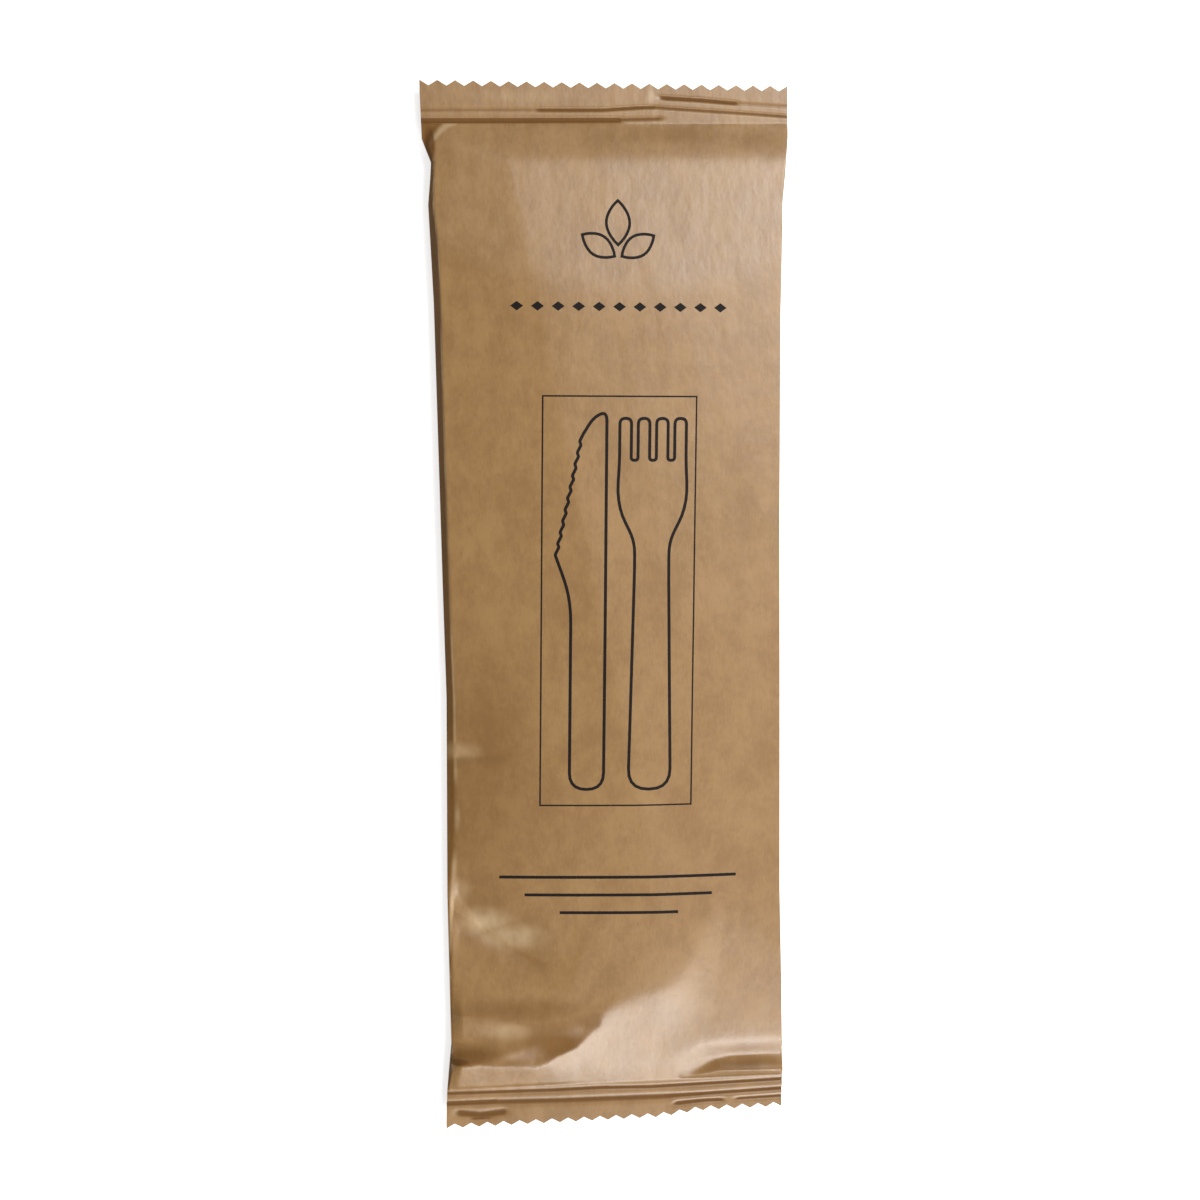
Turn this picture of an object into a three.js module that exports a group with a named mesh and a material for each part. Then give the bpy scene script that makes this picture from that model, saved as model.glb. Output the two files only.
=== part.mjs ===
import * as THREE from 'three';

// A sealed paper cutlery pack lying on its back, as one closed solid.
// X runs across the pack, Y towards its top end, Z out of its front. Sizes are in millimetres.

// Overall size. The length is tip to tip along the middle, without the bulge of the bottom cut.
const PACK_LENGTH = 209.2;
const PACK_WIDTH = 72.3;
const CROWN_HEIGHT = 8.4;

// Cut ends: both run a little askew; the left of the bottom cut stands out
const TOOTH_COUNT = 21;
const TOP_TOOTH_DEPTH = 1.05;
const BOTTOM_TOOTH_DEPTH = 0.95;
const CUT_SKEW = -0.011;
const BOTTOM_BULGE = 1.0;
const BULGE_FULL_X = 8;
const BULGE_END_X = 20;

// End seals: flat bands at half height, each a little askew
const TOP_SEAL = 7.75;
const BOTTOM_SEAL = 7.1;
const TOP_SEAL_SKEW = 0.008;
const BOTTOM_SEAL_SKEW = -0.014;
const SEAL_THICKNESS = 0.4;
const SEAL_HEIGHT = 2.6;

// Ribs of the sealing jaws: distance out from the inner edge of the seal to the middle of each groove
const TOP_RIBS = { inner: 0.65, middle: 2.6, outer: 4.7 };
const BOTTOM_RIBS = { inner: 1.1, middle: 3.2, outer: 4.9 };

// Pressed grooves: half width, depth, and the stretch from left to right that the jaws have pressed
const TOP_GROOVES = [
  { out: TOP_RIBS.inner, half: 0.8, depth: 0.32, from: -50, to: 3 },
  { out: TOP_RIBS.inner, half: 0.6, depth: 0.2, from: 3, to: 11 },
  { out: TOP_RIBS.middle, half: 0.5, depth: 0.18, from: -50, to: 50 },
  { out: TOP_RIBS.outer, half: 0.6, depth: 0.26, from: 10.5, to: 28 },
];
const BOTTOM_GROOVES = [
  { out: BOTTOM_RIBS.inner, half: 0.6, depth: 0.27, from: -50, to: 50 },
  { out: BOTTOM_RIBS.middle, half: 0.9, depth: 0.26, from: -50, to: 12 },
  { out: BOTTOM_RIBS.middle, half: 0.65, depth: 0.28, from: 12, to: 50 },
  { out: BOTTOM_RIBS.outer, half: 0.65, depth: 0.28, from: -33.6, to: -22.5 },
  { out: BOTTOM_RIBS.outer, half: 0.65, depth: 0.28, from: 12.5, to: 23 },
  { out: BOTTOM_RIBS.outer, half: 0.6, depth: 0.24, from: 25.5, to: 50 },
];

// Back fin: two layers of film folded flat against the back, over its full length
const FIN_ROOT_X = -2.9;
const FIN_EDGE_X = 9.4;
const FIN_THICKNESS = 0.3;
const FIN_REACH = 14;
const BACK_RAMP = 14;
const BACK_EDGE_SLOPE = 1.1;

// Side edges: the inset from full width at places along the pack, measured up from its middle
const LEFT_INSETS = [
  [104.6, -0.1], [94.1, 0.2], [89.6, 1.9], [86.8, 1.7], [81.6, 1.2], [62.8, 1.9],
  [4.2, 2.6], [-15.7, 2.9], [-56.5, 2.3], [-87.9, 2.5], [-97.3, 1.5], [-104.6, 1.1],
];
const RIGHT_INSETS = [
  [104.6, 0.2], [94.1, 0.15], [81.6, 1.3], [60, 1.75], [20, 1.85], [-15.7, 1.7],
  [-56.5, 1.6], [-87.9, 0.9], [-98, 0.6], [-104.6, 0.8],
];
const EDGE_TOP = 3.1;
const EDGE_BOTTOM = 2.0;

// The left edge dips towards the top seal, where the side of the pack is tucked in
const EDGE_DIP = 0.9;
const EDGE_DIP_REACH = 7;

// Slope of the left wall at places along the pack, measured up from its middle
const LEFT_WALL_SLOPES = [
  [96.9, 0.25], [94, 0.45], [92, 1.05], [88, 2.2], [50, 2.2],
  [0, 1.3], [-40, 0.6], [-60, 0.7], [-92, 3], [-97.5, 3],
];

// The front falls to the right edge and the end seals: slopes, and the heights that the gentler
// shoulders would reach at the inner edge of the seal
const RIGHT_WALL_SLOPE = 6;
const TOP_WALL_SLOPE = 0.36;
const TOP_SHOULDER_HEIGHT = 4.5;
const TOP_SHOULDER_SLOPE = 0.12;
const BOTTOM_WALL_SLOPE = 0.37;
const BOTTOM_SHOULDER_HEIGHT = 3.35;
const BOTTOM_SHOULDER_SLOPE = 0.22;
const BOTTOM_RIGHT_HEIGHT = 5.4;
const BOTTOM_RIGHT_SLOPE = 0.07;
const BOTTOM_REST_HEIGHT = 7.2;
const BOTTOM_REST_SLOPE = 0.036;
const BOTTOM_TURN_START_X = 8;
const BOTTOM_TURN_END_X = 22;

// The broad crown of the front, highest a little right of the middle
const CROWN_X = 3;
const CROWN_FALL = 0.0009;
const FOLD_SOFTNESS = 0.15;

// Flat facets that fall away to the left of a line on the crown. The ends of the line are x and the
// distance up from the bottom seal. The fall is only a share of the full one close to that seal.
const FACETS = [
  { from: [-17.4, 139.3], to: [-5.4, 15.9], slope: 0.115 },
  { from: [-13.0, 152.4], to: [-19.9, 189.0], slope: 0.09 },
];
const FACET_END_SHARE = 0.6;
const FACET_END_LOW = 4;
const FACET_END_HIGH = 12;

// Creases: points of the crest as x and distance up from the bottom seal, the rise of the crest, how
// far it reaches below and above, and its radius
const PINCH_UP = 69.4;
const CREASES = [
  {
    path: [[-60, 17], [-25, 16], [-17, 13.4], [-11, 12.3], [-4, 12.8], [4, 15]],
    rise: 0.6, below: 3.0, above: 2.0, radius: 1.0,
  },
  {
    path: [[-60, 5.7], [-34, 5.7], [-16.8, 4.9], [-8.3, 8.8], [-3.5, 13.8], [1, 21]],
    rise: 0.7, below: 2.4, above: 1.3, radius: 0.7,
  },
  {
    path: [[13.5, 0.2], [22, 2.1], [30, 1.9], [42, 1.0]],
    rise: 1.5, below: 1.6, above: 1.3, radius: 0.6,
  },
  {
    path: [[14.5, 0], [18, 2.6], [20.5, 4.3], [24, 5.2], [40, 5.2]],
    rise: -0.7, below: 1.2, above: 3.0, radius: 0.7,
  },
  {
    path: [[-60, PINCH_UP], [-22, PINCH_UP]],
    rise: -1.1, below: 0.4, above: 3.6, radius: 0.2,
  },
  {
    path: [[-60, 44], [-33.6, 38.6], [-17.5, 28.7], [-8, 26]],
    rise: -0.9, below: 1.8, above: 4.2, radius: 0.6,
  },
  {
    path: [[-50, 17], [-33, 10.6], [-28, 9], [-22.7, 6.6], [-15, 5.8]],
    rise: -0.9, below: 3.4, above: 2.6, radius: 0.5,
  },
];
const DENTS = [
  { at: [-18, 11], half: [8, 6.5], depth: 0.8 },
  { at: [-33.5, 51.8], half: [1.6, 1.6], depth: 0.4 },
];
const FOLD_FADE = 0.7;

// Steps from row to row along the body: each holds down to the given distance from the bottom seal
const BODY_STEPS = [
  { until: 178, step: 3.3 },
  { until: 76, step: 11.4 },
  { until: PINCH_UP, step: 3 },
  { until: 64, step: 1.4 },
  { until: 42, step: 7.4 },
  { until: 24, step: 3 },
  { until: 0, step: 1.75 },
];

const HALF_LENGTH = PACK_LENGTH / 2;
const HALF_WIDTH = PACK_WIDTH / 2;
const SEGMENTS = TOOTH_COUNT * 2;
const SEAL_TOP = SEAL_HEIGHT + SEAL_THICKNESS / 2;
const SEAL_BOTTOM = SEAL_HEIGHT - SEAL_THICKNESS / 2;
const TOP_LINE = HALF_LENGTH - TOP_SEAL;
const BOTTOM_LINE = BOTTOM_SEAL - HALF_LENGTH;
const FIN_LEVEL = SEAL_BOTTOM - FIN_THICKNESS;
const SKEWS = [
  [HALF_LENGTH, CUT_SKEW],
  [TOP_LINE, TOP_SEAL_SKEW],
  [BOTTOM_LINE, BOTTOM_SEAL_SKEW],
  [-HALF_LENGTH, CUT_SKEW],
];

function clamp(value, low, high) {
  return Math.min(Math.max(value, low), high);
}

// Rises smoothly from 0 at the first limit to 1 at the second
function ease(low, high, value) {
  const t = clamp((value - low) / (high - low), 0, 1);
  return t * t * (3 - 2 * t);
}

// 1 at no distance, falling smoothly to 0 at a distance of 1
function bell(distance) {
  const t = clamp(1 - distance * distance, 0, 1);
  return t * t;
}

function mix(a, b, share) {
  return a + (b - a) * share;
}

// The lowest of several heights, rounded where two of them meet
function softLowest(heights) {
  const lowest = Math.min(...heights);
  let total = 0;
  for (const height of heights) {
    total += Math.exp((lowest - height) / FOLD_SOFTNESS);
  }
  return lowest - FOLD_SOFTNESS * Math.log(total);
}

// A value at a place along the pack, read between the points of a list that runs from top to bottom
function valueAt(list, row) {
  for (let i = 1; i < list.length; i += 1) {
    const [upper, upperValue] = list[i - 1];
    const [lower, lowerValue] = list[i];
    if (row >= lower) {
      return mix(lowerValue, upperValue, clamp((row - lower) / (upper - lower), 0, 1));
    }
  }
  return list[list.length - 1][1];
}

function leftEdge(row) {
  return -HALF_WIDTH + valueAt(LEFT_INSETS, row);
}

function rightEdge(row) {
  return HALF_WIDTH - valueAt(RIGHT_INSETS, row);
}

function crown(x) {
  return CROWN_HEIGHT - CROWN_FALL * (x - CROWN_X) ** 2;
}

// How far a facet lies below the crown, with a soft start at its line
function facetDrop(facet, x, up) {
  const [ax, ay] = facet.from;
  const [bx, by] = facet.to;
  const turn = Math.sign(by - ay) / Math.hypot(bx - ax, by - ay);
  const apart = ((by - ay) * (x - ax) - (bx - ax) * (up - ay)) * turn;
  return (facet.slope * (Math.hypot(apart, 1) - apart)) / 2;
}

// Rise of a crease: full halfway along its path, nothing at its ends, and less with distance
function creaseRise(crease, x, up) {
  let nearest = Infinity;
  let side = 0;
  let travel = 0;
  let done = 0;
  for (let i = 1; i < crease.path.length; i += 1) {
    const [ax, ay] = crease.path[i - 1];
    const [bx, by] = crease.path[i];
    const dx = bx - ax;
    const dy = by - ay;
    const size = Math.hypot(dx, dy);
    const share = clamp(((x - ax) * dx + (up - ay) * dy) / size ** 2, 0, 1);
    const gap = Math.hypot(x - ax - share * dx, up - ay - share * dy);
    if (gap < nearest) {
      nearest = gap;
      side = dx * (up - ay) - dy * (x - ax);
      travel = done + share * size;
    }
    done += size;
  }
  const taper = 1 - ((2 * travel) / done - 1) ** 2;
  const reach = side > 0 ? crease.above : crease.below;
  const away = Math.hypot(nearest, crease.radius) - crease.radius;
  return crease.rise * taper * Math.exp(-away / reach);
}

function dentDepth(dent, x, up) {
  const across = (x - dent.at[0]) / dent.half[0];
  const along = (up - dent.at[1]) / dent.half[1];
  return dent.depth * bell(Math.hypot(across, along));
}

function bodyFront(x, row) {
  const fromLeft = x - leftEdge(row);
  const fromRight = rightEdge(row) - x;
  const fromTop = TOP_LINE - row;
  const up = row - BOTTOM_LINE;
  const crest = softLowest([crown(x), TOP_SHOULDER_HEIGHT + TOP_SHOULDER_SLOPE * fromTop]);
  const share = mix(FACET_END_SHARE, 1, ease(FACET_END_LOW, FACET_END_HIGH, up));
  const base = crest - share * Math.max(...FACETS.map((facet) => facetDrop(facet, x, up)));
  const leftFoot = EDGE_TOP - EDGE_DIP * (1 - ease(0, EDGE_DIP_REACH, fromTop));
  const leftShoulder = BOTTOM_SHOULDER_HEIGHT + BOTTOM_SHOULDER_SLOPE * up;
  const rightShoulder = BOTTOM_RIGHT_HEIGHT + BOTTOM_RIGHT_SLOPE * up;
  const height = softLowest([
    base,
    leftFoot + valueAt(LEFT_WALL_SLOPES, row) * fromLeft,
    EDGE_TOP + RIGHT_WALL_SLOPE * fromRight,
    SEAL_TOP + TOP_WALL_SLOPE * fromTop,
    SEAL_TOP + BOTTOM_WALL_SLOPE * up,
    mix(leftShoulder, rightShoulder, ease(BOTTOM_TURN_START_X, BOTTOM_TURN_END_X, x)),
    BOTTOM_REST_HEIGHT + BOTTOM_REST_SLOPE * up,
  ]);
  let folded = 0;
  for (const crease of CREASES) {
    folded += creaseRise(crease, x, up);
  }
  for (const dent of DENTS) {
    folded -= dentDepth(dent, x, up);
  }
  const fade = ease(0, FOLD_FADE, Math.min(fromTop, up));
  const held = ease(-0.5, 1.2, Math.min(fromLeft, fromRight));
  return Math.max(height + folded * fade * held, SEAL_TOP);
}

// Level of the outer face of the fin: flat under the body, rising to the seals at both ends
function finLevel(row) {
  const fromSeal = Math.min(TOP_LINE - row, row - BOTTOM_LINE);
  return FIN_LEVEL * (1 - ease(0, BACK_RAMP, fromSeal));
}

// The film beside the fin stands off by the fin's thickness and settles down further out
function bodyBack(x, row, finGap) {
  const fromSeal = Math.min(TOP_LINE - row, row - BOTTOM_LINE);
  const settled = mix(1, bell(finGap / FIN_REACH), ease(0, BACK_RAMP, fromSeal));
  const film = finLevel(row) + FIN_THICKNESS * settled;
  const fromEdge = Math.min(x - leftEdge(row), rightEdge(row) - x);
  return Math.max(film, EDGE_BOTTOM - BACK_EDGE_SLOPE * fromEdge);
}

// Depth to which the ribs of the sealing jaws press the seal at a point
function pressed(x, row) {
  const atTop = row > 0;
  const outward = atTop ? row - TOP_LINE : BOTTOM_LINE - row;
  let depth = 0;
  for (const groove of atTop ? TOP_GROOVES : BOTTOM_GROOVES) {
    const stretch = ease(groove.from - 1, groove.from + 1, x) * ease(groove.to + 1, groove.to - 1, x);
    depth = Math.max(depth, groove.depth * stretch * bell((outward - groove.out) / groove.half));
  }
  return depth;
}

function isSeal(row) {
  return row >= TOP_LINE || row <= BOTTOM_LINE;
}

function frontHeight(x, row) {
  return isSeal(row) ? SEAL_TOP - pressed(x, row) : bodyFront(x, row);
}

function backHeight(x, row, finGap) {
  return isSeal(row) ? SEAL_BOTTOM - pressed(x, row) : bodyBack(x, row, finGap);
}

// How far a cut tooth stands out at a share of the width: 0 in a root, 1 at a tip
function toothAt(share) {
  const step = share * SEGMENTS;
  return Math.abs((step % 2) - 1);
}

// Place along the pack of a point in a row, with the skew of the seals and the cuts
function ahead(row, x, cut) {
  const share = ease(BOTTOM_LINE - 3, BOTTOM_TOOTH_DEPTH - HALF_LENGTH, row);
  const bulge = BOTTOM_BULGE * share * ease(BULGE_END_X, BULGE_FULL_X, x);
  return row + cut + valueAt(SKEWS, row) * x - bulge;
}

// Fin edges fall midway between two tooth corners, so that no face there is a sliver
function betweenTeeth(x) {
  return (Math.floor((0.5 + x / PACK_WIDTH) * SEGMENTS) + 0.5) / SEGMENTS;
}

// Columns of the back from left to right; each fin edge is a step with two columns
function backColumns() {
  const finStart = betweenTeeth(FIN_ROOT_X);
  const finEnd = betweenTeeth(FIN_EDGE_X);
  const columns = [];
  for (let j = 0; j <= SEGMENTS; j += 1) {
    const share = j / SEGMENTS;
    columns.push({ share, onFin: share > finStart && share < finEnd, order: 0 });
  }
  columns.push({ share: finStart, onFin: false, order: 0 });
  columns.push({ share: finStart, onFin: true, order: 1 });
  columns.push({ share: finEnd, onFin: true, order: 0 });
  columns.push({ share: finEnd, onFin: false, order: 1 });
  columns.sort((a, b) => a.share - b.share || a.order - b.order);
  for (const column of columns) {
    column.gap = Math.max(finStart - column.share, column.share - finEnd, 0) * PACK_WIDTH;
  }
  return columns;
}

// Rows of one seal: its inner edge, and both sides and the middle of each groove
function addSealRows(rows, line, outward, grooves) {
  rows.push(line);
  for (const out of new Set(grooves.map((groove) => groove.out))) {
    const halves = grooves.filter((groove) => groove.out === out).map((groove) => groove.half);
    const half = Math.max(...halves);
    rows.push(line + outward * Math.max(out - half, 0.15));
    rows.push(line + outward * out);
    rows.push(line + outward * (out + half));
  }
}

// Rows along the pack from the top teeth to the bottom teeth
function rowList() {
  const rows = [HALF_LENGTH - TOP_TOOTH_DEPTH, BOTTOM_TOOTH_DEPTH - HALF_LENGTH];
  addSealRows(rows, TOP_LINE, 1, TOP_GROOVES);
  addSealRows(rows, BOTTOM_LINE, -1, BOTTOM_GROOVES);
  let start = TOP_LINE - BOTTOM_LINE;
  for (const { until, step } of BODY_STEPS) {
    const count = Math.ceil((start - until) / step);
    for (let i = 1; i <= count; i += 1) {
      rows.push(BOTTOM_LINE + mix(start, until, i / count));
    }
    start = until;
  }
  rows.sort((a, b) => b - a);
  return rows.filter((row, i) => i === 0 || rows[i - 1] - row > 0.01);
}

// Rings of points around the pack: the front from left to right, then the back from right to left
function buildPoints(rows, back) {
  const positions = [];
  const last = rows.length - 1;
  rows.forEach((row, i) => {
    const cut = i === 0 ? TOP_TOOTH_DEPTH : i === last ? -BOTTOM_TOOTH_DEPTH : 0;
    const left = leftEdge(row);
    const right = rightEdge(row);
    const add = (share, heightAt) => {
      const x = mix(left, right, share);
      const y = ahead(row, x, cut * toothAt(share));
      positions.push(x, y, heightAt(x));
    };
    for (let j = 0; j <= SEGMENTS; j += 1) {
      add(j / SEGMENTS, (x) => frontHeight(x, row));
    }
    for (const column of [...back].reverse()) {
      add(column.share, (x) => {
        const film = backHeight(x, row, column.gap);
        const seal = SEAL_BOTTOM - FIN_THICKNESS - pressed(x, row);
        const fin = isSeal(row) ? seal : finLevel(row);
        return column.onFin ? fin : film;
      });
    }
  });
  return positions;
}

// Skin between the rings
function buildSkin(rowCount, ringCount) {
  const indices = [];
  for (let i = 0; i < rowCount - 1; i += 1) {
    for (let j = 0; j < ringCount; j += 1) {
      const next = (j + 1) % ringCount;
      const a = i * ringCount + j;
      const b = i * ringCount + next;
      const c = (i + 1) * ringCount + next;
      const d = (i + 1) * ringCount + j;
      indices.push(a, d, c, a, c, b);
    }
  }
  return indices;
}

// Cut face of one end, joined from its front line to its back line in order across the pack
function buildCut(positions, ringStart, ringCount, outward) {
  const indices = [];
  const across = (index) => positions[index * 3];
  const push = (a, b, c) => (outward > 0 ? indices.push(a, b, c) : indices.push(a, c, b));
  const frontLast = ringStart + SEGMENTS;
  const backLast = frontLast + 1;
  let front = ringStart;
  let back = ringStart + ringCount - 1;
  while (front < frontLast || back > backLast) {
    const canFront = front < frontLast;
    const canBack = back > backLast;
    if (canFront && (!canBack || across(front + 1) <= across(back - 1))) {
      push(front, front + 1, back);
      front += 1;
    } else {
      push(front, back - 1, back);
      back -= 1;
    }
  }
  return indices;
}

function buildSachet() {
  const rows = rowList();
  const back = backColumns();
  const ringCount = SEGMENTS + 1 + back.length;
  const positions = buildPoints(rows, back);
  const lastRing = (rows.length - 1) * ringCount;
  const indices = [
    ...buildSkin(rows.length, ringCount),
    ...buildCut(positions, 0, ringCount, 1),
    ...buildCut(positions, lastRing, ringCount, -1),
  ];
  const geometry = new THREE.BufferGeometry();
  geometry.setAttribute('position', new THREE.Float32BufferAttribute(positions, 3));
  geometry.setIndex(indices);
  geometry.computeBoundingBox();
  const { min, max } = geometry.boundingBox;
  geometry.translate(-(min.x + max.x) / 2, -(min.y + max.y) / 2, -min.z);
  geometry.computeVertexNormals();
  return geometry;
}

const kraftPaper = new THREE.MeshStandardMaterial({ color: 0xaf8f6b, roughness: 0.6 });
kraftPaper.name = 'kraft_paper';

const sachet = new THREE.Mesh(buildSachet(), kraftPaper);
sachet.name = 'sealed_sachet';

const pack = new THREE.Group();
pack.name = 'wooden_cutlery_pack';
pack.add(sachet);

export default pack;
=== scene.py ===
"""A sealed kraft paper cutlery pack with its printed outline, paper finish and studio."""

import math

import bpy
import numpy as np
from bpy.props import FloatProperty, FloatVectorProperty, IntProperty, PointerProperty
from mathutils import Matrix, Vector
from mathutils.bvhtree import BVHTree


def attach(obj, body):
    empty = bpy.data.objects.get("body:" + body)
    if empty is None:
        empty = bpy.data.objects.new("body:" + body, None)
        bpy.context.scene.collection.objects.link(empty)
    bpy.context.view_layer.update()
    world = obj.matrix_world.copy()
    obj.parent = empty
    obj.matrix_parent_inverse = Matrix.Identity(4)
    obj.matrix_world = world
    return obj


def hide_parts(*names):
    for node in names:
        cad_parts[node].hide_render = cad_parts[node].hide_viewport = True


bl_info = {
    "name": "Kraft Cutlery Pack",
    "version": (1, 0, 0),
    "blender": (4, 5, 0),
    "location": "View3D > Sidebar > Cutlery Pack",
    "description": "Builds a sealed kraft paper cutlery pack and the studio it is shown in",
    "category": "Add Mesh",
}

NODE = "sealed_sachet"
MM = 0.001

# Edges of the film sharper than this, in degrees, are shaded as sharp
SHARP_ANGLE = 50

# Marks that the film's mesh carries for its material: how deep a place is pressed, with painted
# shadow in tucked corners; how pale its crease wear and painted highlights make it; and how dark
# and matt its painted shade, and the seals' own duller tone, make it
MARKS = ("pressed", "worn_and_highlit", "shade")

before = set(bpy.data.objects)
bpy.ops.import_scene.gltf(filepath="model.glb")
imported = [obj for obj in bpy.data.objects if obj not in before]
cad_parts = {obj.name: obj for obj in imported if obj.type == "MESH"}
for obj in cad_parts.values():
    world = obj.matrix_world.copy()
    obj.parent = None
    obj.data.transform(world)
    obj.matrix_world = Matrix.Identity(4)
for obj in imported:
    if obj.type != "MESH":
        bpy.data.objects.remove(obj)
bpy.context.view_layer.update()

# Inset of each side edge from full width at places measured up from the middle, in millimetres
LEFT_INSETS = (
    (104.6, -0.1), (94.1, 0.2), (89.6, 1.9), (86.8, 1.7), (81.6, 1.2), (62.8, 1.9),
    (4.2, 2.6), (-15.7, 2.9), (-56.5, 2.3), (-87.9, 2.5), (-97.3, 1.5), (-104.6, 1.1),
)
RIGHT_INSETS = (
    (104.6, 0.2), (94.1, 0.15), (81.6, 1.3), (60, 1.75), (20, 1.85), (-15.7, 1.7), (-56.5, 1.6),
    (-87.9, 0.9), (-98, 0.6), (-104.6, 0.8),
)

# Slope of the left wall at places measured up from the middle
LEFT_WALL_SLOPES = (
    (96.9, 0.25), (94, 0.45), (92, 1.05), (88, 2.2), (50, 2.2), (0, 1.3), (-40, 0.5), (-60, 0.6),
    (-92, 3), (-97.5, 3),
)

# Grooves pressed by the jaws: points of each as x and distance from the seal's inner edge, half
# width and depth, all in millimetres
TOP_GROOVES = (
    (((-50, 0.55), (-17, 0.63), (3, 0.7)), 0.8, 0.32),
    (((-1, 0.7), (11, 0.95)), 0.6, 0.2),
    (((-50, 2.3), (-12, 2.55)), 0.4, 0.14),
    (((-14, 2.55), (-1, 2.6), (7, 3.15), (10, 3.2)), 0.55, 0.26),
    (((9, 3.2), (18.5, 2.6), (28.5, 2), (40, 1.1)), 0.5, 0.2),
    (((10.5, 5.1), (18.5, 4.7), (26, 4.1)), 0.65, 0.28),
    (((24, 4.2), (40, 3.2)), 0.5, 0.12),
)
BOTTOM_GROOVES = (
    (((-50, 0.5), (-24, 0.9), (-11, 1.1)), 0.65, 0.24),
    (((-14, 1.1), (-3, 1.05), (7, 1.4), (18, 1.3), (40, 1)), 0.6, 0.28),
    (((-50, 2.8), (-24, 2.95)), 0.85, 0.28),
    (((-26, 2.95), (-11, 3.3), (-1, 3.4), (12, 3.55)), 0.9, 0.22),
    (((10, 3.5), (18, 3.5), (40, 3.05)), 0.65, 0.28),
    (((-33, 4.45), (-28, 4.95), (-22.5, 4.65)), 0.9, 0.24),
    (((-30, 5.6), (-25.5, 5.4)), 0.35, 0.2),
    (((12.5, 4.9), (23, 5)), 0.65, 0.28),
    (((25.5, 4.95), (40, 4.7)), 0.6, 0.24),
)

# Slopes that fall away to the left of a line across the front: the two ends of the line as x and
# distance up from the bottom seal, and the slope
FACETS = (
    ((-17.4, 139.3), (-5.4, 15.9), 0.115),
    ((-13.0, 152.4), (-19.9, 189.0), 0.09),
)

# Crest of the fold under which the lower left of the front is tucked
TUCK_CREST = (
    (-60, 5.9), (-34, 5.6), (-28, 5.9), (-24, 5.3), (-20, 5.2), (-16.8, 4.8), (-14.3, 5.6),
    (-12.4, 6.9), (-8.3, 8.7), (-5.3, 12), (-3.5, 13.4), (-2.5, 16.5), (0.9, 20.4),
)

# Creases: points of the crest as x and distance up from the bottom seal, the rise, the reach below
# and above the crest, and the radius of the crest
CREASES = (
    (((-60, 17), (-25, 16), (-17, 13.4), (-7, 12.3)), 1.1, 8.0, 2.6, 1.0),
    (TUCK_CREST, 0.7, 3.0, 1.3, 0.8),
    (((13.5, 0.2), (22, 2.1), (30, 1.9), (42, 1.0)), 1.5, 1.6, 1.3, 0.6),
    (((14.5, 0), (18, 2.6), (20.5, 4.3), (24, 5.2), (40, 5.2)), -0.7, 1.2, 3.0, 0.7),
    (((-60, 69.2), (-20, 70.2)), -0.8, 0.6, 3.0, 0.3),
    (((-60, 44), (-33.6, 38.6), (-17.5, 28.2), (-8, 25.5)), -1.7, 3.0, 4.4, 1.2),
    (((-48, 15.5), (-33, 10.6), (-28, 9), (-22.7, 6.6), (-19, 5.8)), -0.4, 2.6, 2.0, 0.6),
)

# Painted shade on places turned away from the lamps: middle and half sizes in millimetres, and how
# dark
PAINTED_SHADE = (
    ((-20, 17.1), (22, 3.9), 0.7),
    ((-34, 7), (2.4, 2.2), 1.6),
    ((-6, 14.2), (6.5, 4), 0.75),
    ((-12, 9.6), (12.5, 7.5), 1.1),
    ((-29.5, 7.6), (9.5, 3.4), 1.2),
    ((-31.5, 6.3), (4, 1), 1.4),
    ((28, 3.4), (14, 2.4), 0.9),
    ((-27, 66), (18, 42), 0.5),
    ((-33.9, 24), (1.3, 24), 1.1),
    ((-34.6, 190.5), (1.8, 5), 1.0),
    ((12, 192), (16, 2.6), 0.3),
    ((30, 191), (9, 3), 0.3),
)

# Painted shadow in the corners where the film is tucked in: middle and half sizes in millimetres, and
# how dark
TUCK_SHADOWS = (
    ((-32.6, 6.6), (3.2, 0.9), 1.0),
    ((-34.6, 190.5), (1.5, 5), 1.0),
)

# Painted highlights on places that face the lamps: middle and half sizes in millimetres, and how pale
PAINTED_HIGHLIGHTS = (
    ((-21, 32.6), (9, 4), 1.2),
    ((-26.5, 35.6), (8, 4.2), 1.2),
    ((-31.5, 42), (3.5, 4), 0.5),
    ((-23, 12.8), (6.5, 2.8), 0.6),
    ((8.8, 199.9), (1.1, 2.4), 0.9),
    ((-16, 199.4), (14, 1.8), 0.3),
    ((-31, 71.2), (6, 2.6), 0.6),
)

# Place with small crumples: middle and half sizes in millimetres, and how much
CRUMPLED = (
    ((-20, 11), (20, 11), 1.0),
)

# Dents: middle and half sizes in millimetres, and depth
DENTS = (
    ((-33.5, 51.8), (1.6, 1.6), 0.4),
)


def length(name, description, default):
    """A property that holds a length in metres."""
    return FloatProperty(
        name=name, description=description, default=default, unit="LENGTH", precision=5
    )


def angle(name, description, default):
    """A property that holds an angle in radians."""
    return FloatProperty(name=name, description=description, default=default, unit="ROTATION")


def number(name, description, default):
    """A property that holds a plain number."""
    return FloatProperty(name=name, description=description, default=default, precision=4)


def colour(name, description, default):
    """A property that holds a linear colour."""
    return FloatVectorProperty(
        name=name, description=description, default=default, size=3, subtype="COLOR",
        min=0.0, max=1.0,
    )


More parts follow.
